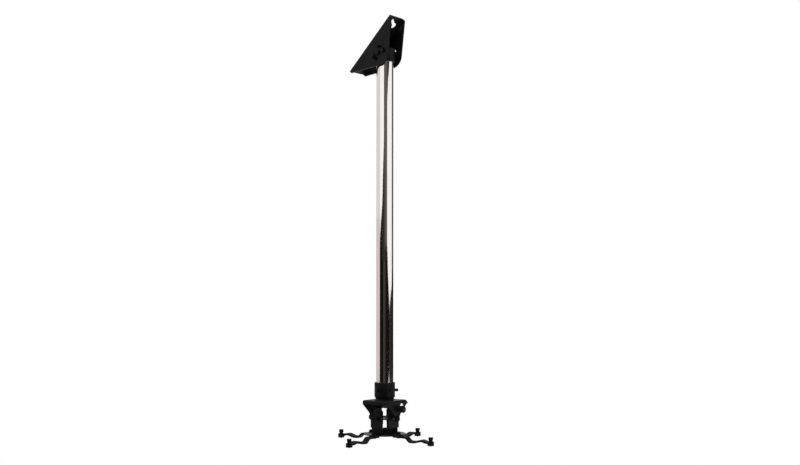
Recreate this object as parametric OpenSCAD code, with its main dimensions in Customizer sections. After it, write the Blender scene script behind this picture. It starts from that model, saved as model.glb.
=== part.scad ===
// Projector mount for a sloping ceiling, in millimetres, +Z up.
// The origin is where the pole's centreline meets the outer face of the ceiling plate.
// The ceiling plate rises towards +X, its ears stand at -Y and +Y, and the pole hangs down -Z.

/* [Pole] */
// Outer diameter of the pole tube
pole_d = 50; // [44:1:56]
// Wall of the pole tube
pole_wall = 2; // [1.5:0.5:3]
// Length of the pole tube
pole_len = 1000; // [500:10:1500]

/* [Ceiling bracket] */
// Slope of the ceiling
slope = 45; // [35:1:55]
// Length of the ceiling plate along the slope
plate_len = 207; // [190:1:240]
// Thickness of the folded ceiling sheet
plate_t = 4; // [3:0.5:5]
// Outer radius of the folds of the ceiling sheet
plate_bend = 6; // [5.5:0.5:8]
// Depth of the tilt pivot below the outer face of the plate
pivot_depth = 47; // [44:1:60]
// Radius of the rounded ends of the ears, round the pivot
ear_r = 36; // [33:1:42]
// Height of the square ends of the ears
ear_lip = 11; // [8:1:16]
// Diameter of the round part of the keyholes
keyhole_d = 18; // [16:0.5:20]
// Width of the narrow part of the keyholes
keyhole_slot = 10; // [8:0.5:12]
// Travel of the ceiling screw inside a keyhole
keyhole_run = 25; // [18:1:27]
// Distance between the two keyholes
keyhole_pitch = 150; // [140:1:155]
// How far the round part of the keyholes lies from the plate's middle line
keyhole_y = 13; // [6:0.5:16]
// Angle of the narrow part of the keyholes across the plate
keyhole_turn = 53; // [0:1:60]
// Diameter of the two plain screw holes
screw_hole_d = 8.5; // [5:0.5:10]
// Distance between the two plain screw holes
screw_pitch = 64; // [50:1:80]

/* [Tilt joint] */
// Thread diameter of the tilt and lock bolts
tilt_bolt_d = 8; // [6:1:8]
// Across flats of the tilt bolt heads and nuts
tilt_bolt_af = 13; // [11:1:14]
// Radius of the lock bolts round the pivot
lock_r = 18; // [17.5:0.5:19]
// Angle of the lock bolts above the horizontal
lock_angle = 20; // [10:1:22]
// Tilt allowed towards the low end of the plate
tilt_back = 15; // [5:1:20]
// Tilt allowed towards the high end of the plate
tilt_front = 65; // [40:1:70]
// Diameter of the tilt washers
tilt_washer_d = 16; // [15:0.5:17]

/* [Pole sleeve and collar] */
// Wall of the sleeve on top of the pole
sleeve_wall = 4.65; // [3:0.05:6]
// Height of the sleeve above the pivot
sleeve_up = 16; // [15:0.5:18]
// Length of the sleeve below the pivot
sleeve_down = 23; // [20:1:30]
// Thickness of the roof of the sleeve
sleeve_roof = 3; // [1.5:0.5:3]
// Wall of the collar at the foot of the pole
collar_wall = 4.45; // [4:0.05:6]
// Height of the collar
collar_h = 50; // [44:1:60]
// Height of the narrow neck under the collar
neck_h = 9; // [6:1:12]
// Wall left inside the neck, which the pole stands on
ledge = 4; // [3:0.5:6]
// How much narrower the neck is, on the radius
neck_cut = 3; // [1:0.5:3]
// Thread diameter of the six collar screws
collar_screw_d = 8; // [5:0.5:9]
// Height of the collar screws over the head plate
collar_screw_z = 28; // [24:1:34]
// How far the long collar screws stand out
collar_screw_out = 9; // [2:0.5:12]

/* [Head plate] */
// Side of the square head plate
head_w = 90; // [88:1:96]
// Thickness of the folded head sheet
head_t = 3; // [2.5:0.5:3.5]
// Outer radius of the folds of the head sheets
head_bend = 4.5; // [4:0.5:6]
// Depth of the skirt round the head plate
skirt = 11.7; // [9:0.1:13]
// Drop of the head pivots below the top of the head plate
pivot_drop = 51.5; // [50:0.5:54]
// Radius of the flange tips round the pitch pivot
tip_r = 9; // [8.5:0.5:10]
// Half width of the flanges at their shoulder
shoulder_y = 16; // [14:0.5:18]
// Depth of the shoulder of the flanges
shoulder_z = 37; // [34:1:40]
// Pitch allowed each way
pitch_range = 15; // [8:1:15]
// Radius of the pitch lock round the pitch pivot
pitch_lock_r = 28.5; // [27:0.5:29]
// Angle of the pitch lock from the vertical
pitch_lock_angle = 22; // [18:1:22]

/* [Gimbal] */
// Width of the gimbal over its pitch ears
gimbal_x = 64; // [60:1:66]
// Width of the pitch ears
pitch_ear_w = 49; // [40:1:54]
// Width of the roll ears
roll_ear_w = 35; // [34:0.5:38]
// Width of the roll ears at their fold
roll_neck_w = 20; // [16:0.5:26]
// Depth of the top of the gimbal below the head plate
gimbal_top = 18; // [17.5:0.5:19]
// Depth of the foot of the gimbal ears below the head plate
gimbal_foot = 78.6; // [74:0.2:80]
// Thickness of the gimbal sheet
gimbal_t = 3; // [2.5:0.5:3.5]
// Thread diameter of the long pitch bolt
pitch_bolt_d = 10; // [8:1:10]
// Across flats of the pitch bolt's nut, and diameter of its head
pitch_bolt_af = 16; // [15:1:17]

/* [Lower yoke] */
// Width of the lower yoke over its two plates
yoke_y = 73.4; // [72:0.2:76]
// Thickness of the lower yoke sheet
yoke_t = 3.5; // [3:0.5:4]
// Width of the lower yoke
yoke_w = 37.5; // [36:0.5:42]
// Roll allowed each way
roll_range = 15; // [8:1:15]
// Radius of the roll lock bolts round the roll pivot
roll_lock_r = 12.5; // [12.5:0.25:13]
// Thread diameter of the roll and lock bolts
roll_bolt_d = 6; // [5:1:6]
// Across flats of the roll bolt heads and nuts
roll_bolt_af = 10; // [9:1:11]
// Thread diameter of the spider's swivel bolt
swivel_bolt_d = 10; // [8:1:12]
// Across flats of the swivel bolt's head and nut
swivel_bolt_af = 17; // [15:1:18]

/* [Spider] */
// Depth of the top of the hub disc below the head plate
hub_top = 95; // [93:0.5:100]
// Diameter of the hub disc
hub_d = 120; // [116:1:130]
// Thickness of the hub disc
hub_t = 3; // [2:0.5:5]
// Angle the spider is turned to
spider_yaw = 0; // [-45:0.5:45]
// Radius of the arm tips from the hub's centre
tip_radius = 160.5; // [158:0.5:190]
// Width of the arms
arm_w = 18; // [16:0.5:20]
// Thickness of the arms
arm_t = 6; // [4:0.5:7]
// Radius at which the arms begin
arm_start = 30; // [29:1:33]
// Radius of the clamp bolts round the hub's centre
clamp_r = 50; // [49:0.5:51]
// Outward travel of an arm
arm_out = 12; // [6:1:12]
// Inward travel of an arm
arm_in = 16; // [8:1:16]
// Thread diameter of the arm clamp bolts
clamp_d = 6; // [5:1:6]
// Drop of the arms in their valley
arm_drop = 11; // [6:0.5:13]
// Rise of the arms at their hump
arm_hump = 5.5; // [2:0.5:7]
// Drop of the boss's top below the flat of the arms
boss_drop = 9; // [7:0.5:11]
// Diameter of the boss at the arm tips
boss_d = 18.5; // [15:0.5:20]
// Height of the boss
boss_h = 11; // [8:0.5:14]
// Thread diameter of the thumb screws
thumb_d = 4; // [3:0.5:5]
// Diameter of the thumb screw heads
thumb_head_d = 13; // [9:0.5:16]
// Height of the thumb screw heads
thumb_head_h = 12; // [8:0.5:16]
// How far the thumb screws stand out under the bosses
thumb_out = 2; // [2:0.5:12]

/* [Hidden] */

$fn = 72;
black = "#1b1b1d";
satin_black = "#242427";
chrome = "#c9ccd0";
zinc = "#9a9da1";

// Clearances: running fit on a pin, plain bolt hole, sliding slot and curved face beside a flat one
run_fit = 0.05;
bolt_fit = 0.1;
slot_fit = 0.3;
face_gap = 0.3;
// Air left under the washers of the clamp bolts, which turn on the hub disc
seat = 0.01;
// Overshoot of cuts past a face
over = 1;
// Heights as shares of the thread diameter: nut, thin nut, hexagon head and low domed head
nut_share = 0.8;
thin_nut_share = 0.5;
head_share = 0.65;
dome_share = 0.38;
// Thread that stands out of a nut, and out of a thin nut
thread_out = 3;
thin_thread_out = 0.5;
// How much slimmer the thumb screws are inside their boss, on the radius
thumb_relief = 0.4;
washer_t = 1.6;

pole_r = pole_d / 2;
sleeve_bore = pole_r + run_fit;
sleeve_r = sleeve_bore + sleeve_wall;
ear_in = sleeve_r + face_gap;
ear_out = ear_in + plate_t;
pivot_z = -pivot_depth / cos(slope);
pole_top = pivot_z + sleeve_up - sleeve_roof;
pole_foot = pole_top - pole_len;
head_z = pole_foot - neck_h;
collar_r = sleeve_bore + collar_wall;

// Levels of the head, measured from the top of the head plate
yoke_base = -hub_top + yoke_t;
hub_foot = -hub_top - hub_t;
arm_foot = hub_foot - arm_t;
yoke_in = yoke_y / 2 - yoke_t;
gimbal_y = 2 * yoke_in;
head_half = head_w / 2;
pitch_x = gimbal_x / 2;

// Radial stations of the arm's bends
bend_1 = tip_radius - 84;
bend_2 = tip_radius - 67;
bend_3 = tip_radius - 54;
bend_4 = tip_radius - 28;
bend_5 = tip_radius - boss_d / 2 - 0.5;

// Basic shapes

// Rectangle hanging below the X axis, with round top corners
module arch(w, h, r) {
    translate([-w / 2, -h]) square([w, h - r]);
    translate([r - w / 2, -h]) square([w - 2 * r, h]);
    for (s = [-1, 1]) translate([s * (w / 2 - r), -r]) circle(r);
}

// Block below the XY plane, with its four top edges rounded
module bent_block(x, y, h, r) {
    intersection() {
        rotate([90, 0, 0]) linear_extrude(y, center = true) arch(x, h, r);
        rotate([90, 0, 90]) linear_extrude(x, center = true) arch(y, h, r);
    }
}

// Open box folded from sheet, standing on its rim
module folded_box(x, y, h, t, r) {
    difference() {
        bent_block(x, y, h, r);
        translate([0, 0, -t]) bent_block(x - 2 * t, y - 2 * t, h, r - t);
    }
}

// Flat slot with round ends from x = a to x = b, cut down through depth h from z = 0
module slot(a, b, r, h) {
    translate([a, -r, -h]) cube([b - a, 2 * r, h]);
    for (x = [a, b]) translate([x, 0, -h]) cylinder(r = r, h = h);
}

// Slot on an arc round the Z axis, from angle a to angle b, from z = 0 upwards
module arc_slot(radius, r, a, b, h) {
    rotate([0, 0, a]) rotate_extrude(angle = b - a) translate([radius - r, 0]) square([2 * r, h]);
    for (t = [a, b]) rotate([0, 0, t]) translate([radius, 0, 0]) cylinder(r = r, h = h);
}

module hexagon(af, h) {
    cylinder(d = af / cos(30), h = h, $fn = 6);
}

// Hexagon with its outer corners turned off
module hex_body(af, h) {
    intersection() {
        hexagon(af, h);
        rotate_extrude() polygon([[0, 0], [af * 0.577, 0], [af * 0.577, h * 0.82], [af * 0.48, h], [0, h]]);
    }
}

// Bolt with its head above z = 0 and a shank of length l below
module hex_bolt(d, af, l) {
    hex_body(af, d * head_share);
    translate([0, 0, -l]) cylinder(d = d, h = l);
}

// Low domed head above z = 0
module dome(r, h) {
    rotate_extrude() polygon(concat([[0, 0], [r, 0]],
        [for (a = [15:15:90]) [r * cos(a), h * (0.25 + 0.75 * sin(a))]]));
}

module nut(d, af, share = nut_share) {
    difference() {
        hex_body(af, d * share);
        translate([0, 0, -over]) cylinder(d = d + 2 * bolt_fit, h = d + 2 * over);
    }
}

module washer(d, od, t) {
    difference() {
        cylinder(d = od, h = t);
        translate([0, 0, -over]) cylinder(d = d + 2 * bolt_fit, h = t + 2 * over);
    }
}

// Places children with their Z axis along the given side's -Y or +Y direction
module facing_y(side) {
    rotate([-90 * side, 0, 0]) children();
}

// Turns children so that their Z axis points along X on the given side
module facing_x(side) {
    rotate([0, 90 * side, 0]) children();
}

// Ceiling bracket and tilt joint

// Centres of the two lock bolts in the XZ plane
lock_places = [for (s = [0, 180]) [lock_r * cos(lock_angle + s), lock_r * sin(lock_angle + s)]];

// Angle below the horizontal at which the straight edge of an ear touches its round end
function touch_angle(x, rise, r) = acos(r / sqrt(x * x + rise * rise)) - atan2(rise, x);

// Outline of an ear seen along Y, with the outer face of the plate on the X axis
module ear_outline() {
    x = plate_len / 2;
    steps = 26;
    touch = touch_angle(x, pivot_depth - ear_lip, ear_r);
    round_end = [for (i = [0:steps]) let (a = -touch - (180 - 2 * touch) * i / steps)
        [ear_r * cos(a), ear_r * sin(a) - pivot_depth]];
    polygon(concat([[-x, 0], [x, 0], [x, -ear_lip]], round_end, [[-x, -ear_lip]]));
}

// Round hole for a screw head, with a narrow part that runs uphill and across the plate
module keyhole(x) {
    translate([x, keyhole_y, over]) rotate([0, 0, -keyhole_turn]) {
        translate([0, 0, -plate_t - 2 * over]) cylinder(d = keyhole_d, h = plate_t + 2 * over);
        slot(0, keyhole_run, keyhole_slot / 2, plate_t + 2 * over);
    }
}

module ceiling_plate() {
    depth = pivot_depth + ear_r + over;
    difference() {
        intersection() {
            rotate([90, 0, 0]) linear_extrude(2 * ear_out, center = true) ear_outline();
            rotate([90, 0, 90]) linear_extrude(plate_len, center = true) difference() {
                arch(2 * ear_out, depth, plate_bend);
                translate([0, -plate_t]) arch(2 * ear_in, depth, plate_bend - plate_t);
            }
        }
        for (s = [-1, 1]) {
            keyhole(s * keyhole_pitch / 2);
            translate([s * screw_pitch / 2, 0, -plate_t - over])
                cylinder(d = screw_hole_d, h = plate_t + 2 * over);
        }
    }
}

module ceiling_bracket() {
    color(black) translate([0, 0, pivot_z]) difference() {
        rotate([0, -slope, 0]) translate([0, 0, pivot_depth]) ceiling_plate();
        rotate([90, 0, 0]) translate([0, 0, -ear_out - over]) {
            cylinder(r = tilt_bolt_d / 2 + run_fit, h = 2 * ear_out + 2 * over);
            for (s = [0, 180])
                arc_slot(lock_r, tilt_bolt_d / 2 + slot_fit, lock_angle - tilt_back + s,
                    lock_angle + tilt_front + s, 2 * ear_out + 2 * over);
        }
    }
}

// One bolt across both ears, with its head at -Y
module ear_bolt(p) {
    l = 2 * (ear_out + washer_t) + tilt_bolt_d * nut_share + thread_out;
    translate([p[0], -ear_out - washer_t, pivot_z + p[1]]) facing_y(-1)
        hex_bolt(tilt_bolt_d, tilt_bolt_af, l);
}

module ear_nut(p) {
    translate([p[0], ear_out + washer_t, pivot_z + p[1]]) facing_y(1) nut(tilt_bolt_d, tilt_bolt_af);
}

module ear_washers(p) {
    for (s = [-1, 1]) translate([p[0], s * ear_out, pivot_z + p[1]]) facing_y(s)
        washer(tilt_bolt_d, tilt_washer_d, washer_t);
}

module tilt_bolt() {
    color(black) ear_bolt([0, 0]);
}

module tilt_nut() {
    color(black) ear_nut([0, 0]);
}

module tilt_washers() {
    color(black) ear_washers([0, 0]);
}

module lock_bolts() {
    color(black) for (p = lock_places) ear_bolt(p);
}

module lock_nuts() {
    color(black) for (p = lock_places) ear_nut(p);
}

module lock_washers() {
    color(black) for (p = lock_places) ear_washers(p);
}

// Holes of the tilt bolt and the lock bolts through the sleeve and the pole
module cross_holes() {
    for (p = concat([[0, 0]], lock_places)) translate([p[0], 0, pivot_z + p[1]]) rotate([90, 0, 0])
        cylinder(d = tilt_bolt_d + 2 * bolt_fit, h = 2 * ear_out, center = true);
}

module pole_sleeve() {
    top = pivot_z + sleeve_up;
    foot = pivot_z - sleeve_down;
    edge = 1.2;
    color(black) difference() {
        rotate_extrude() polygon([
            [0, top - sleeve_roof], [sleeve_bore, top - sleeve_roof], [sleeve_bore, foot],
            [sleeve_r - edge, foot], [sleeve_r, foot + edge], [sleeve_r, top - edge],
            [sleeve_r - edge, top], [0, top]]);
        cross_holes();
    }
}

// Pole and collar

module pole() {
    color(chrome) difference() {
        translate([0, 0, pole_foot]) cylinder(r = pole_r, h = pole_len);
        translate([0, 0, pole_foot - over]) cylinder(r = pole_r - pole_wall, h = pole_len + 2 * over);
        cross_holes();
    }
}

// Turns children to the collar screws: three long ones, or three flush ones between them
module at_collar_screws(first) {
    for (a = [first, first + 120, first + 240]) rotate([0, 0, a])
        translate([0, 0, head_z + collar_screw_z]) rotate([0, 90, 0]) children();
}

long_angle = 36;
flush_angle = long_angle - 60;

module collar() {
    neck_r = collar_r - neck_cut;
    color(satin_black) difference() {
        rotate_extrude() polygon([
            [sleeve_bore - ledge, head_z], [neck_r, head_z], [neck_r, head_z + neck_h - neck_cut],
            [collar_r, head_z + neck_h], [collar_r, head_z + collar_h - 1],
            [collar_r - 1, head_z + collar_h], [sleeve_bore, head_z + collar_h],
            [sleeve_bore, head_z + neck_h], [sleeve_bore - ledge, head_z + neck_h]]);
        for (a = [long_angle, flush_angle]) at_collar_screws(a)
            cylinder(d = collar_screw_d + 2 * bolt_fit, h = collar_r + over);
    }
}

// Headless screw along Z from just outside the pole, with a hexagon socket in its end
module set_screw(end) {
    socket = collar_screw_d / 2;
    start = pole_r + 2 * run_fit;
    difference() {
        translate([0, 0, start]) cylinder(d = collar_screw_d, h = end - start);
        translate([0, 0, end - socket]) hexagon(socket, socket + over);
    }
}

module collar_long_screws() {
    color(black) at_collar_screws(long_angle) set_screw(collar_r + collar_screw_out);
}

module collar_flush_screws() {
    color(black) at_collar_screws(flush_angle) set_screw(collar_r);
}

// Head plate with its skirt and flanges

// Outline of a flange seen along X, with the top of the head plate on the X axis
module flange_outline() {
    w = head_half;
    polygon([[-w, 0], [w, 0], [w, -skirt], [shoulder_y, -shoulder_z], [tip_r, -pivot_drop],
        [-tip_r, -pivot_drop], [-shoulder_y, -shoulder_z], [-w, -skirt]]);
    translate([0, -pivot_drop]) circle(tip_r);
}

// Three-sided window in the right flange
module flange_window() {
    y = shoulder_y + 6;
    polygon([[y, -head_bend - 0.5], [y + 10, -skirt - 4.5], [y - 10, -skirt - 4.5]]);
}

// Small catch bent out of the back edge of the plate, with a hole for a safety wire
module wire_tab() {
    tab_w = 14;
    tab_l = 15;
    translate([head_half - 12, head_half - 1, -head_t]) rotate([-38, 0, 0]) difference() {
        translate([-tab_w / 2, 0, 0]) cube([tab_w, tab_l, head_t]);
        translate([0, tab_l - 6, -over]) cylinder(d = 5, h = head_t + 2 * over);
    }
}

module head_plate() {
    depth = pivot_drop + tip_r + over;
    lock_r_in = roll_bolt_d / 2 + slot_fit;
    color(satin_black) translate([0, 0, head_z]) difference() {
        union() {
            intersection() {
                folded_box(head_w, head_w, depth, head_t, head_bend);
                union() {
                    translate([-head_half, -head_half, -skirt]) cube([head_w, head_w, skirt]);
                    for (s = [-1, 1]) translate([s * (head_half - head_t / 2), 0, 0])
                        rotate([90, 0, 90]) linear_extrude(head_t, center = true) flange_outline();
                }
            }
            wire_tab();
        }
        translate([-head_half - over, 0, -pivot_drop]) rotate([0, 90, 0])
            cylinder(d = pitch_bolt_d + 2 * bolt_fit, h = head_w + 2 * over);
        translate([head_half - head_t - over, 0, 0]) rotate([90, 0, 90]) {
            translate([0, -pivot_drop, 0])
                arc_slot(pitch_lock_r, lock_r_in, 90 - pitch_lock_angle - pitch_range,
                    90 - pitch_lock_angle + pitch_range, head_t + 2 * over);
            linear_extrude(head_t + 2 * over) flange_window();
        }
    }
}

// Pitch pivot

module at_pitch_axis() {
    translate([0, 0, head_z - pivot_drop]) children();
}

pitch_washer_t = 2;

module pitch_bolt() {
    l = head_w + 2 * pitch_washer_t + pitch_bolt_d * thin_nut_share + thin_thread_out;
    color(black) at_pitch_axis() translate([head_half + pitch_washer_t, 0, 0]) facing_x(1) {
        dome(pitch_bolt_af / 2, pitch_bolt_d * dome_share);
        translate([0, 0, -l]) cylinder(d = pitch_bolt_d, h = l);
    }
}

module pitch_nut() {
    color(black) at_pitch_axis() translate([-head_half - pitch_washer_t, 0, 0]) facing_x(-1)
        nut(pitch_bolt_d, pitch_bolt_af, thin_nut_share);
}

module pitch_washers() {
    color(black) at_pitch_axis() for (s = [-1, 1]) translate([s * head_half, 0, 0]) facing_x(s)
        washer(pitch_bolt_d, 2 * tip_r, pitch_washer_t);
}

// Turned spacers between the flanges and the gimbal
module pitch_spacers() {
    color(zinc) at_pitch_axis() for (s = [-1, 1]) translate([s * pitch_x, 0, 0]) facing_x(s)
        washer(pitch_bolt_d, 2 * tip_r - 2, head_half - head_t - pitch_x);
}

// Tube over the bolt between the gimbal's ears
module pitch_tube() {
    half = pitch_x - gimbal_t;
    color(zinc) at_pitch_axis() rotate([0, 90, 0]) difference() {
        cylinder(d = pitch_bolt_d + 3, h = 2 * half, center = true);
        cylinder(d = pitch_bolt_d + 2 * run_fit, h = 2 * half + 2 * over, center = true);
    }
}

knob_r = 9.5;
knob_h = 15;
lobes = 8;

// Place of the pitch lock on the right flange
module at_pitch_lock() {
    at_pitch_axis() rotate([-pitch_lock_angle, 0, 0]) translate([0, 0, pitch_lock_r]) children();
}

// Lobed knob on a stud that is screwed into the gimbal's ear
module pitch_knob() {
    start = head_half + washer_t;
    stud_end = pitch_x - gimbal_t - thread_out;
    edge = 1.5;
    color(black) at_pitch_lock() {
        translate([start, 0, 0]) rotate([0, 90, 0]) difference() {
            rotate_extrude() polygon([[0, 0], [knob_r * 0.7, 0], [knob_r, edge], [knob_r, knob_h - edge],
                [knob_r - edge, knob_h], [0, knob_h]]);
            for (i = [1:lobes]) rotate([0, 0, i * 360 / lobes]) translate([knob_r + 1.4, 0, edge])
                cylinder(r = 2.4, h = knob_h);
        }
        translate([stud_end, 0, 0]) rotate([0, 90, 0]) cylinder(d = roll_bolt_d, h = start - stud_end);
    }
}

module pitch_knob_washer() {
    color(zinc) at_pitch_lock() translate([head_half, 0, 0]) rotate([0, 90, 0])
        washer(roll_bolt_d, knob_r * 1.5, washer_t);
}

// Gimbal: one blank with four ears folded down, open at its corners

// Roll branch of the blank seen along Y: narrow at the fold, wide and round at the pivot
module roll_branch(depth) {
    r = roll_ear_w / 2;
    neck = roll_neck_w / 2;
    flare = [head_bend + 1, head_bend + 8];
    foot = -depth + r;
    polygon([[-neck, 0], [neck, 0], [neck, -flare[0]], [r, -flare[1]], [r, foot], [-r, foot],
        [-r, -flare[1]], [-neck, -flare[0]]]);
    translate([0, foot]) circle(r);
}

module gimbal() {
    depth = gimbal_foot - gimbal_top;
    drop = pivot_drop - gimbal_top;
    color(black) translate([0, 0, head_z - gimbal_top]) difference() {
        intersection() {
            folded_box(gimbal_x, gimbal_y, depth, gimbal_t, head_bend);
            union() {
                cube([gimbal_x, pitch_ear_w, 2 * depth], center = true);
                rotate([90, 0, 0]) linear_extrude(gimbal_y, center = true) roll_branch(depth);
            }
        }
        translate([0, 0, -drop]) {
            rotate([0, 90, 0]) cylinder(d = pitch_bolt_d + 2 * run_fit, h = 2 * gimbal_x, center = true);
            rotate([90, 0, 0]) {
                cylinder(d = roll_bolt_d + 2 * run_fit, h = 2 * gimbal_y, center = true);
                for (s = [-1, 1]) translate([s * roll_lock_r, 0, 0])
                    cylinder(d = roll_bolt_d + 2 * (s < 0 ? run_fit : slot_fit), h = 2 * gimbal_y,
                        center = true);
            }
            rotate([-pitch_lock_angle, 0, 0]) translate([gimbal_x / 4, 0, pitch_lock_r])
                rotate([0, 90, 0]) cylinder(d = roll_bolt_d + 2 * run_fit, h = gimbal_x);
        }
    }
}

// Roll pivot and roll lock

// One short bolt on each side, from outside the lower yoke to inside the gimbal
module roll_side_bolts(x) {
    l = washer_t + yoke_t + gimbal_t + roll_bolt_d * nut_share + 1;
    at_pitch_axis() for (s = [-1, 1]) translate([x, s * (yoke_y / 2 + washer_t), 0]) facing_y(s)
        hex_bolt(roll_bolt_d, roll_bolt_af, l);
}

module roll_side_nuts(x) {
    inside = gimbal_y / 2 - gimbal_t;
    at_pitch_axis() for (s = [-1, 1]) translate([x, s * inside, 0]) facing_y(-s)
        nut(roll_bolt_d, roll_bolt_af);
}

module roll_side_washers(x) {
    at_pitch_axis() for (s = [-1, 1]) translate([x, s * yoke_y / 2, 0]) facing_y(s)
        washer(roll_bolt_d, 2 * roll_bolt_d, washer_t);
}

module roll_bolts() {
    color(black) roll_side_bolts(0);
}

module roll_nuts() {
    color(black) roll_side_nuts(0);
}

module roll_washers() {
    color(black) roll_side_washers(0);
}

module roll_lock_bolts() {
    color(black) roll_side_bolts(-roll_lock_r);
}

module roll_lock_nuts() {
    color(black) roll_side_nuts(-roll_lock_r);
}

module roll_lock_washers() {
    color(black) roll_side_washers(-roll_lock_r);
}

// Lower yoke: a strip folded up at both ends, standing on the hub disc

module lower_yoke() {
    r = yoke_w / 2;
    drop = hub_top - pivot_drop;
    color(black) translate([0, 0, head_z - hub_top]) difference() {
        intersection() {
            mirror([0, 0, 1]) rotate([90, 0, 90]) linear_extrude(2 * r, center = true) difference() {
                arch(yoke_y, drop + r, yoke_t + 1);
                translate([0, -yoke_t]) arch(2 * yoke_in, drop + r, 1);
            }
            rotate([90, 0, 0]) linear_extrude(yoke_y, center = true) {
                translate([-r, 0]) square([2 * r, drop]);
                translate([0, drop]) circle(r);
            }
        }
        translate([0, 0, -over]) cylinder(d = swivel_bolt_d + 2 * bolt_fit, h = yoke_t + 2 * over);
        translate([0, 0, drop]) rotate([90, 0, 0]) translate([0, 0, -yoke_y]) {
            cylinder(d = roll_bolt_d + 2 * run_fit, h = 2 * yoke_y);
            for (a = [0, 180]) arc_slot(roll_lock_r, roll_bolt_d / 2 + slot_fit, a - roll_range,
                a + roll_range, 2 * yoke_y);
        }
    }
}

// Spider swivel: a bolt from below, with its nut on the base of the lower yoke

module swivel_bolt() {
    l = hub_t + yoke_t + washer_t + swivel_bolt_d * nut_share + thread_out;
    color(black) translate([0, 0, head_z + hub_foot]) rotate([180, 0, 0])
        hex_bolt(swivel_bolt_d, swivel_bolt_af, l);
}

module swivel_washer() {
    color(black) translate([0, 0, head_z + yoke_base]) washer(swivel_bolt_d, 2 * swivel_bolt_d, washer_t);
}

module swivel_nut() {
    color(black) translate([0, 0, head_z + yoke_base + washer_t]) nut(swivel_bolt_d, swivel_bolt_af);
}

module hub_disc() {
    edge = 0.6;
    r = hub_d / 2;
    color(satin_black) translate([0, 0, head_z]) difference() {
        rotate_extrude() polygon([[0, hub_foot], [r - edge, hub_foot], [r, hub_foot + edge],
            [r, -hub_top - edge], [r - edge, -hub_top], [0, -hub_top]]);
        translate([0, 0, hub_foot - over])
            cylinder(d = swivel_bolt_d + 2 * run_fit, h = hub_t + 2 * over);
        for (a = [0:90:270]) rotate([0, 0, spider_yaw + a]) translate([clamp_r, 0, hub_foot - over])
            cylinder(d = clamp_d + 2 * run_fit, h = hub_t + 2 * over);
    }
}

// Arms

// Smooth step from 0 to 1
function ease(t) = t * t * (3 - 2 * t);

// Height of the arm's top over its flat, at radius s
function arm_top(s) =
    s < bend_1 ? 0 :
    s < bend_2 ? -arm_drop * ease((s - bend_1) / (bend_2 - bend_1)) :
    s < bend_3 ? -arm_drop :
    s < bend_4 ? -arm_drop + arm_hump * ease((s - bend_3) / (bend_4 - bend_3)) :
    s < bend_5 ? -arm_drop + arm_hump + (arm_drop - arm_hump - boss_drop)
        * ease((s - bend_4) / (bend_5 - bend_4)) :
    -boss_drop;

// Stations along the arm: its ends, and small steps through the bends
arm_stations = concat([arm_start], [for (i = [0:8]) bend_1 + (bend_2 - bend_1) * i / 8],
    [for (i = [0:8]) bend_3 + (bend_4 - bend_3) * i / 8],
    [for (i = [1:8]) bend_4 + (bend_5 - bend_4) * i / 8], [tip_radius]);

module arm_side() {
    n = len(arm_stations);
    top = [for (s = arm_stations) [s, arm_top(s)]];
    foot = [for (i = [n - 1:-1:0]) [arm_stations[i], arm_top(arm_stations[i]) - arm_t]];
    polygon(concat(top, foot));
}

module arm(angle) {
    r = arm_w / 2;
    inner = arm_start + r;
    deep = arm_drop + arm_t + boss_h;
    clamp_hole = clamp_d / 2 + slot_fit;
    color(satin_black) translate([0, 0, head_z + hub_foot]) rotate([0, 0, spider_yaw + angle]) difference() {
        union() {
            intersection() {
                rotate([90, 0, 0]) linear_extrude(arm_w, center = true) arm_side();
                union() {
                    translate([inner, -r, -deep]) cube([tip_radius - inner, arm_w, 2 * deep]);
                    translate([inner, 0, -deep]) cylinder(r = r, h = 2 * deep);
                }
            }
            translate([tip_radius, 0, -boss_drop - boss_h]) cylinder(d = boss_d, h = boss_h);
        }
        translate([0, 0, over]) slot(clamp_r - arm_out, clamp_r + arm_in, clamp_hole, arm_t + 2 * over);
        translate([tip_radius, 0, -deep - boss_drop - over])
            cylinder(d = thumb_d + 2 * run_fit, h = deep + boss_drop + 2 * over);
    }
}

// Height of the clamp washers over the head's zero
clamp_seat = head_z - hub_top + seat;

// Bolt up through the arm's slot and the hub disc, with its low head under the arm
module clamp_bolt(angle) {
    l = arm_t + hub_t + seat + washer_t + clamp_d * nut_share + 1;
    color(black) rotate([0, 0, spider_yaw + angle]) translate([clamp_r, 0, head_z + arm_foot]) {
        mirror([0, 0, 1]) dome(clamp_d, clamp_d * dome_share);
        cylinder(d = clamp_d, h = l);
    }
}

module clamp_washer(angle) {
    color(black) rotate([0, 0, spider_yaw + angle]) translate([clamp_r, 0, clamp_seat])
        washer(clamp_d, 2.3 * clamp_d, washer_t);
}

module clamp_nut(angle) {
    color(black) rotate([0, 0, spider_yaw + angle]) translate([clamp_r, 0, clamp_seat + washer_t])
        nut(clamp_d, roll_bolt_af);
}

// Knurled head: a ring of small teeth
module knurled(r, teeth, h) {
    linear_extrude(h) polygon([for (i = [0:2 * teeth - 1])
        (r - (i % 2 == 0 ? 0 : 0.45)) * [cos(180 * i / teeth), sin(180 * i / teeth)]]);
}

module thumb_screw(angle) {
    boss_top = head_z + hub_foot - boss_drop;
    rim = 2;
    color(black) rotate([0, 0, spider_yaw + angle]) translate([tip_radius, 0, boss_top]) {
        cylinder(r = thumb_head_d / 2 - 1, h = thumb_head_h - rim);
        translate([0, 0, thumb_head_h * 0.4]) knurled(thumb_head_d / 2, 20, thumb_head_h * 0.6);
        translate([0, 0, -boss_h]) cylinder(r = thumb_d / 2 - thumb_relief, h = boss_h);
        translate([0, 0, -boss_h - thumb_out]) cylinder(d = thumb_d, h = thumb_out);
    }
}

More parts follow.
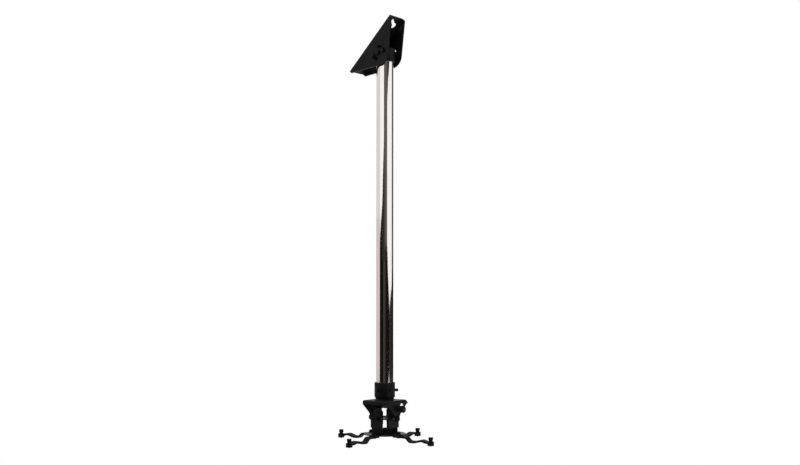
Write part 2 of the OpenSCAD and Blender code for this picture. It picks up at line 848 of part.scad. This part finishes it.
module arm_right() { arm(0); }
module arm_back() { arm(90); }
module arm_left() { arm(180); }
module arm_front() { arm(270); }
module clamp_bolt_right() { clamp_bolt(0); }
module clamp_bolt_back() { clamp_bolt(90); }
module clamp_bolt_left() { clamp_bolt(180); }
module clamp_bolt_front() { clamp_bolt(270); }
module clamp_washer_right() { clamp_washer(0); }
module clamp_washer_back() { clamp_washer(90); }
module clamp_washer_left() { clamp_washer(180); }
module clamp_washer_front() { clamp_washer(270); }
module clamp_nut_right() { clamp_nut(0); }
module clamp_nut_back() { clamp_nut(90); }
module clamp_nut_left() { clamp_nut(180); }
module clamp_nut_front() { clamp_nut(270); }
module thumb_screw_right() { thumb_screw(0); }
module thumb_screw_back() { thumb_screw(90); }
module thumb_screw_left() { thumb_screw(180); }
module thumb_screw_front() { thumb_screw(270); }

ceiling_bracket();
tilt_bolt();
tilt_nut();
tilt_washers();
lock_bolts();
lock_nuts();
lock_washers();
pole_sleeve();
pole();
collar();
collar_long_screws();
collar_flush_screws();
head_plate();
pitch_bolt();
pitch_nut();
pitch_washers();
pitch_spacers();
pitch_tube();
pitch_knob();
pitch_knob_washer();
gimbal();
roll_bolts();
roll_nuts();
roll_washers();
roll_lock_bolts();
roll_lock_nuts();
roll_lock_washers();
lower_yoke();
swivel_bolt();
swivel_washer();
swivel_nut();
hub_disc();
arm_right();
arm_back();
arm_left();
arm_front();
clamp_bolt_right();
clamp_bolt_back();
clamp_bolt_left();
clamp_bolt_front();
clamp_washer_right();
clamp_washer_back();
clamp_washer_left();
clamp_washer_front();
clamp_nut_right();
clamp_nut_back();
clamp_nut_left();
clamp_nut_front();
thumb_screw_right();
thumb_screw_back();
thumb_screw_left();
thumb_screw_front();
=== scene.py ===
import math

import bpy
import numpy as np
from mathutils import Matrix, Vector


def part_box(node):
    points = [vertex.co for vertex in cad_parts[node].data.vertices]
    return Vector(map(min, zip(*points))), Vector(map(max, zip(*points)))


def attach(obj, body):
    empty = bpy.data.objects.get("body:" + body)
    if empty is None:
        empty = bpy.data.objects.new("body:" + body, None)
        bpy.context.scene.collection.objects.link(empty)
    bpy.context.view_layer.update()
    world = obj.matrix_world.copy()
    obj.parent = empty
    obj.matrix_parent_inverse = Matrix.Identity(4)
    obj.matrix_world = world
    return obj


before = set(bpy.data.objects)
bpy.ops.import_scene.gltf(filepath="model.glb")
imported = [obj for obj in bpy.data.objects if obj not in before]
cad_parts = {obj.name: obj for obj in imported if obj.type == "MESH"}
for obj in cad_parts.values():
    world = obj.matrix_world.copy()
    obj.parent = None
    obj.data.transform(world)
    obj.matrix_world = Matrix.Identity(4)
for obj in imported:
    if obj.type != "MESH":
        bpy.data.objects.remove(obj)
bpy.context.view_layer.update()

MM = 0.001

# Ceiling bracket

# A 4 mm steel sheet, laser cut and folded to a channel whose plate follows the
# slope of the ceiling. It is powder coated black after folding, so every face
# and edge has the same fine grain.


def put(tree, kind, **values):
    """Adds one shader node. A value whose name is one of the node's sockets goes to that socket,
    any other is set as a property of the node."""
    node = tree.nodes.new(kind)
    for name, value in values.items():
        label = name.replace("_", " ")
        if label in node.inputs:
            node.inputs[label].default_value = value
        else:
            setattr(node, name, value)
    return node


def new_group(name, inputs, outputs):
    """Starts a shader node group with float inputs, given with their usual values, and named outputs."""
    group = bpy.data.node_groups.new(name, "ShaderNodeTree")
    for label, value in inputs.items():
        socket = group.interface.new_socket(label, in_out="INPUT", socket_type="NodeSocketFloat")
        socket.default_value = value
    for label in outputs:
        group.interface.new_socket(label, in_out="OUTPUT", socket_type="NodeSocketFloat")
    return group, group.nodes.new("NodeGroupInput"), group.nodes.new("NodeGroupOutput")


def use_group(tree, group, **values):
    """Places a node group in a material with its own values."""
    node = tree.nodes.new("ShaderNodeGroup")
    node.node_tree = group
    for label, value in values.items():
        node.inputs[label].default_value = value
    return node


def maths(tree, operation, a, b):
    """One Math node: each of a and b is a number or the socket that feeds it."""
    node = put(tree, "ShaderNodeMath", operation=operation)
    for socket, value in zip(node.inputs, (a, b)):
        if isinstance(value, (int, float)):
            socket.default_value = value
        else:
            tree.links.new(value, socket)
    return node.outputs["Value"]


def weighted_sum(tree, a, share_a, b, share_b):
    """The sum of two values, each times its share."""
    return maths(tree, "ADD", maths(tree, "MULTIPLY", a, share_a), maths(tree, "MULTIPLY", b, share_b))


def remap(tree, value, low, high):
    """Carries a value from 0..1 to low..high, in a straight line."""
    node = put(tree, "ShaderNodeMapRange", To_Min=low, To_Max=high)
    tree.links.new(value, node.inputs["Value"])
    return node.outputs["Result"]


def coat_grain():
    """Grain of a baked coat, read from Object coordinates: three noises, from fine to slow, are the grain,
    the swell and the cloud. Height is 6 parts grain and 4 swell, Gloss is 65 parts cloud and 35 swell, and
    Tone is half grain, half cloud, spread to fill 0 to 1."""
    group, given, made = new_group("coat_grain", {"Grain": 1400.0, "Swell": 260.0, "Cloud": 22.0},
                                   ["Height", "Tone", "Gloss"])
    place = put(group, "ShaderNodeTexCoord").outputs["Object"]
    fields = {}
    for label, detail in (("Grain", 2.0), ("Swell", 1.0), ("Cloud", 3.0)):
        noise = put(group, "ShaderNodeTexNoise", Detail=detail)
        group.links.new(place, noise.inputs["Vector"])
        group.links.new(given.outputs[label], noise.inputs["Scale"])
        fields[label] = noise.outputs["Fac"]
    height = weighted_sum(group, fields["Grain"], 0.6, fields["Swell"], 0.4)
    gloss = weighted_sum(group, fields["Cloud"], 0.65, fields["Swell"], 0.35)
    mottle = weighted_sum(group, fields["Cloud"], 0.5, fields["Grain"], 0.5)
    spread = put(group, "ShaderNodeMapRange", From_Min=0.36, From_Max=0.64)
    group.links.new(mottle, spread.inputs["Value"])
    group.links.new(height, made.inputs["Height"])
    group.links.new(spread.outputs["Result"], made.inputs["Tone"])
    group.links.new(gloss, made.inputs["Gloss"])
    return group


GRAIN = coat_grain()


def new_material(name):
    """Starts a material: gives it, its node tree and its Principled BSDF."""
    material = bpy.data.materials.new(name)
    material.use_nodes = True
    return material, material.node_tree, material.node_tree.nodes["Principled BSDF"]


def two_tones(tree, mask, dark, light, surface):
    """Base colour of a surface: dark where the mask is 0, light where it is 1, mixed in between."""
    tone = put(tree, "ShaderNodeMix", data_type="RGBA")
    tone.inputs["A"].default_value = (*dark, 1.0)
    tone.inputs["B"].default_value = (*light, 1.0)
    tree.links.new(mask, tone.inputs["Factor"])
    tree.links.new(tone.outputs["Result"], surface.inputs["Base Color"])


def relief(tree, field, strength, height, surface):
    """Bump of a surface: a field from 0 to 1 stands for a relief of the given height in metres."""
    bump = put(tree, "ShaderNodeBump", Strength=strength, Distance=height)
    tree.links.new(field, bump.inputs["Height"])
    tree.links.new(bump.outputs["Normal"], surface.inputs["Normal"])


def coated(name, dark, light, rough, bump, specular=0.16, metallic=0.0, grain=1400.0):
    """Black finish on metal or plastic: base colour between two tones by the grain and cloudiness of the
    coat, roughness between two values by its gloss, and its grain as a bump of a height in metres."""
    material, tree, surface = new_material(name)
    surface.inputs["Specular IOR Level"].default_value = specular
    surface.inputs["Metallic"].default_value = metallic
    coat = use_group(tree, GRAIN, Grain=grain)
    two_tones(tree, coat.outputs["Tone"], dark, light, surface)
    tree.links.new(remap(tree, coat.outputs["Gloss"], *rough), surface.inputs["Roughness"])
    relief(tree, coat.outputs["Height"], 0.6, bump, surface)
    return material


def dress(material, *names):
    """Gives CAD nodes a finish: every material slot of their objects takes it."""
    for name in names:
        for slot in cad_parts[name].material_slots:
            slot.material = material


POWDER = coated("black_powder_coat", (0.0015, 0.0015, 0.0016), (0.007, 0.007, 0.0072), (0.32, 0.52), 0.00014)
dress(POWDER, "ceiling_bracket")

# Tilt joint

# Three M8 bolts across both ears: the middle one is the pivot, the outer two
# slide in arc slots and lock the angle. They are blackened steel, as are their
# washers and nuts, and only the few turns past each nut are open to view.


BLACK_STEEL = coated("black_oxide", (0.004, 0.004, 0.0045), (0.010, 0.010, 0.011), (0.28, 0.42), 0.00001,
                     metallic=0.3, grain=2400.0)
dress(BLACK_STEEL, "tilt_bolt", "tilt_nut", "tilt_washers", "lock_bolts", "lock_nuts", "lock_washers")


def grid_faces(rows, columns, closed):
    """Corner numbers of the quads of a grid of rows x columns points, whose columns may close on
    themselves. A quad runs along the row first."""
    span = columns if closed else columns - 1
    i, j = np.meshgrid(np.arange(rows - 1), np.arange(span), indexing="ij")
    k = (j + 1) % columns
    quads = np.stack([i * columns + j, i * columns + k, (i + 1) * columns + k, (i + 1) * columns + j], -1)
    return quads.reshape(-1, 4)


def add_object(name, data):
    """Puts a mesh, camera or lamp in the scene as an object at the origin."""
    made = bpy.data.objects.new(name, data)
    bpy.context.scene.collection.objects.link(made)
    return made


def surface_piece(name, patches, material, body, smooth=True):
    """Joins point grids to one mesh object that rides on a body. patches is a list of (points, quads)."""
    points, quads, start = [], [], 0
    for patch, faces in patches:
        points.append(patch.reshape(-1, 3))
        quads.append(faces + start)
        start += len(points[-1])
    points, quads = np.concatenate(points), np.concatenate(quads)
    mesh = bpy.data.meshes.new(name)
    mesh.from_pydata(points.tolist(), [], quads.tolist())
    mesh.polygons.foreach_set("use_smooth", np.full(len(mesh.polygons), smooth))
    mesh.materials.append(material)
    mesh.update()
    piece = add_object(name, mesh)
    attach(piece, body)
    return piece


def across(axis):
    """Two unit vectors square to the axis, which turn right-handed round it."""
    axis = np.array(axis, float)
    side = np.array([0.0, 0.0, 1.0]) if abs(axis[2]) < 0.9 else np.array([1.0, 0.0, 0.0])
    first = np.cross(side, axis)
    first /= np.linalg.norm(first)
    return first, np.cross(axis, first)


def thread_turns(start, axis, length, diameter, pitch):
    """Ridge of a screw thread, from the point start for the given length along the axis. In the section of
    one turn the radius rises in a straight line from just under the shank to the crest and falls back, and
    the section climbs one pitch for each turn. At both ends the ridge runs out into the shank."""
    steps = 36
    turns = length / pitch - 1.0
    count = int(steps * turns) + 1
    angle = np.linspace(0.0, 2 * math.pi * turns, count)
    rise = angle / (2 * math.pi) * pitch
    run_out = np.clip(np.minimum(angle, angle[-1] - angle) / 2.0, 0.0, 1.0)
    root, crest = diameter / 2 - 0.03 * MM, diameter / 2 + 0.14 * pitch
    along = np.array([0.06, 0.44, 0.56, 0.94]) * pitch
    radius = np.stack([np.full(count, root), root + (crest - root) * run_out,
                       root + (crest - root) * run_out, np.full(count, root)])
    first, second = across(axis)
    spoke = np.cos(angle)[:, None] * first + np.sin(angle)[:, None] * second
    points = (np.array(start, float) + radius[..., None] * spoke
              + (along[:, None] + rise)[..., None] * np.array(axis, float))
    flank = grid_faces(4, count, False)[:, ::-1]
    foot = np.array([[0, 3 * count, 2 * count, count]])
    head = np.array([[count - 1, 2 * count - 1, 3 * count - 1, 4 * count - 1]])
    back = np.stack([np.arange(count - 1) + 3 * count, np.arange(count - 1), np.arange(1, count),
                     np.arange(1, count) + 3 * count], -1)[:, ::-1]
    return points, np.concatenate([flank, foot, head, back])


def open_end(node, axis, out, diameter, pitch):
    """Turns of thread on the last stretch, out long, of every bolt of a node that ends along an axis. The
    ends are the furthest points along the axis, and points within 1.1 diameters are one bolt's."""
    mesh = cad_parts[node].data
    spots = np.zeros(len(mesh.vertices) * 3)
    mesh.vertices.foreach_get("co", spots)
    spots = spots.reshape(-1, 3)
    axis = np.array(axis, float)
    reach = spots @ axis
    ends = spots[reach > reach.max() - 0.05 * MM]
    first, second = across(axis)
    flat = np.stack([ends @ first, ends @ second], -1)
    patches = []
    while len(flat):
        near = np.linalg.norm(flat - flat[0], axis=1) < 1.1 * diameter
        centre = (flat[near].max(0) + flat[near].min(0)) / 2
        base = centre[0] * first + centre[1] * second + (reach.max() - out) * axis
        patches.append(thread_turns(base, axis, out, diameter, pitch))
        flat = flat[~near]
    return patches


ACROSS_EARS = (0.0, 1.0, 0.0)
UPWARD = (0.0, 0.0, 1.0)
DOWNWARD = (0.0, 0.0, -1.0)
OUT_OF_NUT = 2.9 * MM
M8_PITCH = 1.25 * MM
surface_piece("thread_of_tilt_bolts",
              open_end("tilt_bolt", ACROSS_EARS, OUT_OF_NUT, 8 * MM, M8_PITCH)
              + open_end("lock_bolts", ACROSS_EARS, OUT_OF_NUT, 8 * MM, M8_PITCH),
              BLACK_STEEL, "pole", smooth=False)

# Pole and its sleeve

# A drawn steel tube, 50 mm across, polished and chrome plated to a mirror. The
# sleeve is a turned cup that closes its top, in the same black as the bracket.


def polish_lines():
    """Traces of drawing and polishing on a tube along Z. Haze is a soft cloud from 0 to 1, and Lines is a
    noise drawn out along Z, which leaves faint long streaks."""
    group, given, made = new_group("polish_lines", {"Across": 900.0, "Along": 3.0, "Cloud": 9.0},
                                   ["Haze", "Lines"])
    place = put(group, "ShaderNodeTexCoord").outputs["Object"]
    split = put(group, "ShaderNodeSeparateXYZ")
    group.links.new(place, split.inputs["Vector"])
    join = put(group, "ShaderNodeCombineXYZ")
    for axis, label in (("X", "Across"), ("Y", "Across"), ("Z", "Along")):
        group.links.new(maths(group, "MULTIPLY", split.outputs[axis], given.outputs[label]),
                        join.inputs[axis])
    lines = put(group, "ShaderNodeTexNoise", Scale=1.0, Detail=2.0)
    group.links.new(join.outputs["Vector"], lines.inputs["Vector"])
    cloud = put(group, "ShaderNodeTexNoise", Detail=3.0)
    group.links.new(place, cloud.inputs["Vector"])
    group.links.new(given.outputs["Cloud"], cloud.inputs["Scale"])
    group.links.new(cloud.outputs["Fac"], made.inputs["Haze"])
    group.links.new(lines.outputs["Fac"], made.inputs["Lines"])
    return group


def mirror_chrome():
    """Chrome plate: a nearly clear mirror, whose roughness rises a little with haze and polishing lines."""
    material, tree, surface = new_material("bright_chrome")
    surface.inputs["Metallic"].default_value = 1.0
    polish = use_group(tree, polish_lines())
    two_tones(tree, polish.outputs["Haze"], (0.86, 0.84, 0.835), (0.93, 0.92, 0.91), surface)
    haze = weighted_sum(tree, polish.outputs["Haze"], 0.5, polish.outputs["Lines"], 0.5)
    tree.links.new(remap(tree, haze, 0.02, 0.10), surface.inputs["Roughness"])
    return material


CHROME = mirror_chrome()
dress(CHROME, "pole")
dress(POWDER, "pole_sleeve")

# Collar at the foot of the pole

# Turned steel socket with a necked foot, welded to the head plate all round and
# powder coated with it. Six socket set screws clamp the pole, in black steel.

dress(POWDER, "collar")
dress(BLACK_STEEL, "collar_long_screws", "collar_flush_screws")

NECK_RADIUS = 26.5 * MM
NECK_SINK = 0.2 * MM
PLATE_SINK = 0.1 * MM
WELD_SIZE = 2.6 * MM
WELD_PUDDLES = 96


def weld_bead(steps=480, arc=9):
    """Fillet weld round the neck. Its section is a quarter round, hollowed a little, whose corner is sunk
    just inside the neck and the plate. The size ripples once for each puddle round the circle, and drifts
    a little with a slow wave of 7 periods."""
    root_radius = NECK_RADIUS - NECK_SINK
    root_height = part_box("collar")[0].z - PLATE_SINK
    around = np.linspace(0.0, 2 * math.pi, steps, endpoint=False)
    quarter = np.linspace(0.0, math.pi / 2, arc)
    ripple = 0.07 * np.abs(np.sin(WELD_PUDDLES / 2 * around))
    drift = 0.03 * np.sin(7 * around + 1.0)
    size = (WELD_SIZE * (1.0 + ripple + drift))[:, None] * (1.0 - 0.22 * np.sin(2 * quarter))
    radius = np.column_stack([root_radius + size * np.cos(quarter), np.full(steps, root_radius)])
    height = np.column_stack([root_height + size * np.sin(quarter), np.full(steps, root_height)])
    ring = np.stack([radius * np.cos(around)[:, None], radius * np.sin(around)[:, None], height], -1)
    here = np.arange(steps)
    there = (here + 1) % steps
    corner = arc * steps
    close = np.stack([here + corner, there + corner, there, here], -1)
    return ring.transpose(1, 0, 2), np.concatenate([grid_faces(arc + 1, steps, True), close])


surface_piece("collar_weld", [weld_bead()], POWDER, "head")

# Head plate and pitch pivot

# A folded 3 mm sheet with a skirt, two pointed flanges and a tab for a safety
# wire. A long black M10 bolt is the pitch pivot, with zinc plated spacers and a
# tube on it, and a moulded knob on a stud locks the pitch.

dress(POWDER, "head_plate")
dress(BLACK_STEEL, "pitch_bolt", "pitch_nut", "pitch_washers")


def plated_metal():
    """Zinc plate on steel: Blotch is the passivation, a noise of some millimetres, and Lines is the fine
    grain that the tool left, both from 0 to 1."""
    group, given, made = new_group("plate_blotches", {"Size": 180.0, "Lines": 2600.0}, ["Blotch", "Lines"])
    place = put(group, "ShaderNodeTexCoord").outputs["Object"]
    blotch = put(group, "ShaderNodeTexNoise", Detail=4.0, Roughness=0.6)
    lines = put(group, "ShaderNodeTexNoise", Detail=1.0)
    for noise, label in ((blotch, "Size"), (lines, "Lines")):
        group.links.new(place, noise.inputs["Vector"])
        group.links.new(given.outputs[label], noise.inputs["Scale"])
    group.links.new(blotch.outputs["Fac"], made.inputs["Blotch"])
    group.links.new(lines.outputs["Fac"], made.inputs["Lines"])
    return group


def zinc_plate():
    """Bright metal whose tone and roughness follow the blotches of its plating."""
    material, tree, surface = new_material("zinc_plate")
    surface.inputs["Metallic"].default_value = 1.0
    plate = use_group(tree, plated_metal())
    two_tones(tree, plate.outputs["Blotch"], (0.38, 0.39, 0.42), (0.62, 0.62, 0.62), surface)
    tree.links.new(remap(tree, plate.outputs["Blotch"], 0.24, 0.42), surface.inputs["Roughness"])
    relief(tree, plate.outputs["Lines"], 0.5, 0.00001, surface)
    return material


ZINC = zinc_plate()
dress(ZINC, "pitch_spacers", "pitch_tube", "pitch_knob_washer")
KNOB = coated("moulded_knob", (0.004, 0.004, 0.004), (0.008, 0.008, 0.0083), (0.42, 0.58), 0.00003,
              grain=3200.0)
dress(KNOB, "pitch_knob")

# Gimbal and lower yoke

# The gimbal is one folded blank with four ears. The lower yoke is a strip folded
# up at both ends, which hangs from the gimbal on four short M6 bolts and carries
# the spider on its swivel bolt. Both are powder coated, the bolts blackened.

dress(POWDER, "gimbal", "lower_yoke")
dress(BLACK_STEEL, "roll_bolts", "roll_nuts", "roll_washers", "roll_lock_bolts", "roll_lock_nuts",
      "roll_lock_washers", "swivel_bolt", "swivel_washer", "swivel_nut")
M10_PITCH = 1.5 * MM
surface_piece("thread_of_swivel_bolt",
              open_end("swivel_bolt", UPWARD, OUT_OF_NUT, 10 * MM, M10_PITCH),
              BLACK_STEEL, "lower_yoke", smooth=False)

# Spider

# A disc with four bent, slotted bars under it, each held by a clamp bolt from
# below with its nut on the disc. The disc is satin black and the bars a duller
# black, and each tip has a knurled thumb screw in blackened steel.

SATIN = coated("satin_black_paint", (0.002, 0.002, 0.0021), (0.009, 0.009, 0.0092), (0.30, 0.48), 0.00010,
               grain=900.0)
dress(SATIN, "hub_disc")
CAST = coated("cast_black_paint", (0.0015, 0.0015, 0.0016), (0.008, 0.008, 0.0081), (0.48, 0.66), 0.00022,
              specular=0.08, grain=700.0)
M6_PITCH = 1.0 * MM
M4_PITCH = 0.7 * MM
OUT_OF_CLAMP_NUT = 2.0 * MM
OUT_OF_BOSS = 1.9 * MM
for side in ("right", "back", "left", "front"):
    dress(CAST, "arm_" + side)
    dress(BLACK_STEEL, "clamp_bolt_" + side, "clamp_washer_" + side, "clamp_nut_" + side,
          "thumb_screw_" + side)
    surface_piece("thread_of_clamp_" + side,
                  open_end("clamp_bolt_" + side, UPWARD, OUT_OF_CLAMP_NUT, 6 * MM, M6_PITCH),
                  BLACK_STEEL, "clamp_" + side, smooth=False)
    surface_piece("thread_of_thumb_" + side,
                  open_end("thumb_screw_" + side, DOWNWARD, OUT_OF_BOSS, 4 * MM, M4_PITCH),
                  BLACK_STEEL, "thumb_" + side, smooth=False)

# Studio

# White surround, a pale floor well below the mount, three soft lamps, and a ring
# of dark, grey and rose cards round the pole, which the chrome and the coats
# mirror. The cards show in reflections only.

CAMERA_AZIMUTH = math.radians(37.381)
CAMERA_DISTANCE = 3.315541
CAMERA_HEIGHT = -0.76104
CAMERA_RISE = math.radians(3.062)
CAMERA_PAN = math.radians(0.753)
FOCAL_PIXELS = 1152.333
PICTURE_WIDTH = 800
SENSOR = 36.0

forward = Vector((-math.sin(CAMERA_AZIMUTH), math.cos(CAMERA_AZIMUTH), 0.0))
rightward = Vector((math.cos(CAMERA_AZIMUTH), math.sin(CAMERA_AZIMUTH), 0.0))
camera_data = bpy.data.cameras.new("camera")
camera_data.sensor_width = SENSOR
camera_data.lens = FOCAL_PIXELS * SENSOR / PICTURE_WIDTH
camera_data.clip_end = 60.0
camera = add_object("camera", camera_data)
bpy.context.scene.camera = camera
camera.location = -CAMERA_DISTANCE * forward + Vector((0.0, 0.0, CAMERA_HEIGHT))
level = forward * math.cos(CAMERA_PAN) + rightward * math.sin(CAMERA_PAN)
aim = level * math.cos(CAMERA_RISE) + Vector((0.0, 0.0, math.sin(CAMERA_RISE)))
camera.rotation_mode = "QUATERNION"
camera.rotation_quaternion = aim.to_track_quat("-Z", "Y")

DIFFUSE_SKY = 0.62
world = bpy.data.worlds.new("white_surround")
bpy.context.scene.world = world
world.use_nodes = True
sky = world.node_tree
sky.nodes.clear()
path = put(sky, "ShaderNodeLightPath")
seen = maths(sky, "MAXIMUM", path.outputs["Is Camera Ray"], path.outputs["Is Glossy Ray"])
seen = maths(sky, "MAXIMUM", seen, path.outputs["Is Transmission Ray"])
shine = put(sky, "ShaderNodeBackground", Color=(1.0, 1.0, 1.0, 1.0))
sky.links.new(remap(sky, seen, DIFFUSE_SKY, 1.0), shine.inputs["Strength"])
ground = put(sky, "ShaderNodeOutputWorld")
sky.links.new(shine.outputs["Background"], ground.inputs["Surface"])

FLOOR_LEVEL = -2.4
FLOOR_RINGS = (0.01, 1.0, 3.0, 6.0)
FADE_START = 0.6
FADE_END = 2.6


def floor_finish():
    """Pale matt floor that keeps the shadow under the mount and fades to the white surround with distance
    from the pole. From below it is clear."""
    material, tree, matt = new_material("pale_floor")
    matt.inputs["Base Color"].default_value = (0.86, 0.86, 0.85, 1.0)
    matt.inputs["Roughness"].default_value = 0.9
    distance = put(tree, "ShaderNodeVectorMath", operation="LENGTH")
    flat = put(tree, "ShaderNodeVectorMath", operation="MULTIPLY")
    flat.inputs[1].default_value = (1.0, 1.0, 0.0)
    tree.links.new(put(tree, "ShaderNodeTexCoord").outputs["Object"], flat.inputs[0])
    tree.links.new(flat.outputs["Vector"], distance.inputs[0])
    fade = put(tree, "ShaderNodeMapRange", From_Min=FADE_START, From_Max=FADE_END)
    tree.links.new(distance.outputs["Value"], fade.inputs["Value"])
    white = put(tree, "ShaderNodeEmission", Strength=1.0)
    mixed = put(tree, "ShaderNodeMixShader")
    tree.links.new(fade.outputs["Result"], mixed.inputs["Fac"])
    tree.links.new(matt.outputs["BSDF"], mixed.inputs[1])
    tree.links.new(white.outputs["Emission"], mixed.inputs[2])
    under = put(tree, "ShaderNodeMixShader")
    tree.links.new(put(tree, "ShaderNodeNewGeometry").outputs["Backfacing"], under.inputs["Fac"])
    tree.links.new(mixed.outputs["Shader"], under.inputs[1])
    tree.links.new(put(tree, "ShaderNodeBsdfTransparent").outputs["BSDF"], under.inputs[2])
    tree.links.new(under.outputs["Shader"], tree.nodes["Material Output"].inputs["Surface"])
    return material


def floor(steps=96):
    """Round floor: rings of points about the pole's axis, from the centre out, with a small face in the
    innermost ring."""
    around = np.linspace(0.0, 2 * math.pi, steps, endpoint=False)
    out = np.array(FLOOR_RINGS)[:, None]
    height = np.full((len(out), steps), FLOOR_LEVEL)
    points = np.stack([out * np.cos(around), out * np.sin(around), height], -1).reshape(-1, 3)
    faces = grid_faces(len(out), steps, True)[:, ::-1].tolist() + [list(range(steps))]
    mesh = bpy.data.meshes.new("floor")
    mesh.from_pydata(points.tolist(), [], faces)
    mesh.materials.append(floor_finish())
    add_object("floor", mesh)


floor()

CARD_RADIUS = 3.0


def card(name, left, right, low, high, tone, steps=25):
    """Upright card on a circle round the pole, from angle left to angle right as seen from the pole, where
    0 faces the camera and a positive angle is to its right. low and high give its edges at the left and
    the right end. It shows in mirror reflections alone."""
    across_card = np.linspace(0.0, 1.0, steps)
    angle = np.radians(left + (right - left) * across_card)[:, None]
    place = CARD_RADIUS * (np.sin(angle) * np.array(rightward) - np.cos(angle) * np.array(forward))
    rows = []
    for edge in (low, high):
        row = place.copy()
        row[:, 2] = edge[0] + (edge[1] - edge[0]) * across_card
        rows.append(row)
    mesh = bpy.data.meshes.new(name)
    mesh.from_pydata(np.concatenate(rows).tolist(), [], grid_faces(2, steps, False).tolist())
    material, tree, surface = new_material(name + "_tone")
    tree.nodes.remove(surface)
    glow = put(tree, "ShaderNodeEmission", Color=(*tone, 1.0), Strength=1.0)
    tree.links.new(glow.outputs["Emission"], tree.nodes["Material Output"].inputs["Surface"])
    mesh.materials.append(material)
    piece = add_object(name, mesh)
    for kind in ("camera", "diffuse", "transmission", "shadow", "volume_scatter"):
        setattr(piece, "visible_" + kind, False)


DARK = (0.007, 0.006, 0.006)
SHADE = (0.030, 0.025, 0.024)
GLOOM = (0.055, 0.048, 0.046)
DUSK = (0.125, 0.098, 0.098)
GREY = (0.72, 0.71, 0.70)
ROSE = (0.66, 0.59, 0.59)
card("card_left_wall", -180, -68, (-0.35, -0.35), (4.0, 4.0), GREY)
card("card_left_foot", -180, -70, (-1.25, -1.25), (-0.35, -0.35), ROSE)
card("card_left_floor", -180, -70, (-4.0, -4.0), (-1.25, -1.25), DARK)
card("card_left_low", -70, -34, (-4.0, -4.0), (-0.46, -0.25), DARK)
card("card_left_middle", -34, -14, (-0.58, -0.58), (-0.25, 0.12), SHADE)
card("card_left_edge", -14, -2, (-0.58, -0.58), (0.12, -0.20), SHADE)
card("card_left_corner", -34, -20, (-4.0, -4.0), (-0.58, -0.58), DARK)
card("card_left_streak", -20, -2, (-4.0, -4.0), (-0.58, -0.58), GLOOM)
card("card_left_high", -14, -2, (0.12, -0.20), (4.0, 4.0), DUSK)
card("card_camera_high", -2, 30, (-0.50, -0.50), (4.0, 4.0), DUSK)
card("card_camera_low", -2, 14, (-4.0, -4.0), (-0.50, -0.50), SHADE)
card("card_camera_right", 14, 32, (-4.0, -4.0), (-0.50, -0.50), DARK)
card("card_right_slope", 32, 62, (-1.34, -1.19), (-0.50, -0.83), DARK)
card("card_right_high", 30, 64, (0.30, 0.54), (4.0, 4.0), SHADE)
card("card_right_low", 62, 96, (-4.0, -4.0), (-0.83, -0.72), SHADE)
card("card_right_foot", 96, 152, (-1.25, -1.25), (-0.72, -0.56), DARK)
card("card_right_floor", 96, 152, (-4.0, -4.0), (-1.25, -1.25), GREY)
card("card_right_wall", 96, 152, (-0.72, -0.56), (4.0, 4.0), DUSK)


def soft_lamp(name, place, target, width, height, watts):
    """Rectangular soft lamp at a place, turned to a target. It lights matt colour, and the cards and the
    surround make the reflections."""
    data = bpy.data.lights.new(name, "AREA")
    data.shape = "RECTANGLE"
    data.size, data.size_y = width, height
    data.energy = watts
    lamp = add_object(name, data)
    lamp.location = place
    lamp.rotation_euler = (Vector(target) - Vector(place)).to_track_quat("-Z", "Y").to_euler()
    lamp.visible_glossy = False
    lamp.visible_camera = False


MIDDLE = (0.0, 0.0, -0.6)
soft_lamp("key_lamp", (-2.7, -1.4, 0.7), MIDDLE, 1.6, 1.6, 38.0)
soft_lamp("fill_lamp", (2.6, 1.2, 0.2), MIDDLE, 1.6, 2.0, 20.0)
soft_lamp("top_lamp", (0.3, 0.6, 1.9), MIDDLE, 2.0, 2.0, 45.0)

bpy.context.scene.view_settings.view_transform = "Standard"
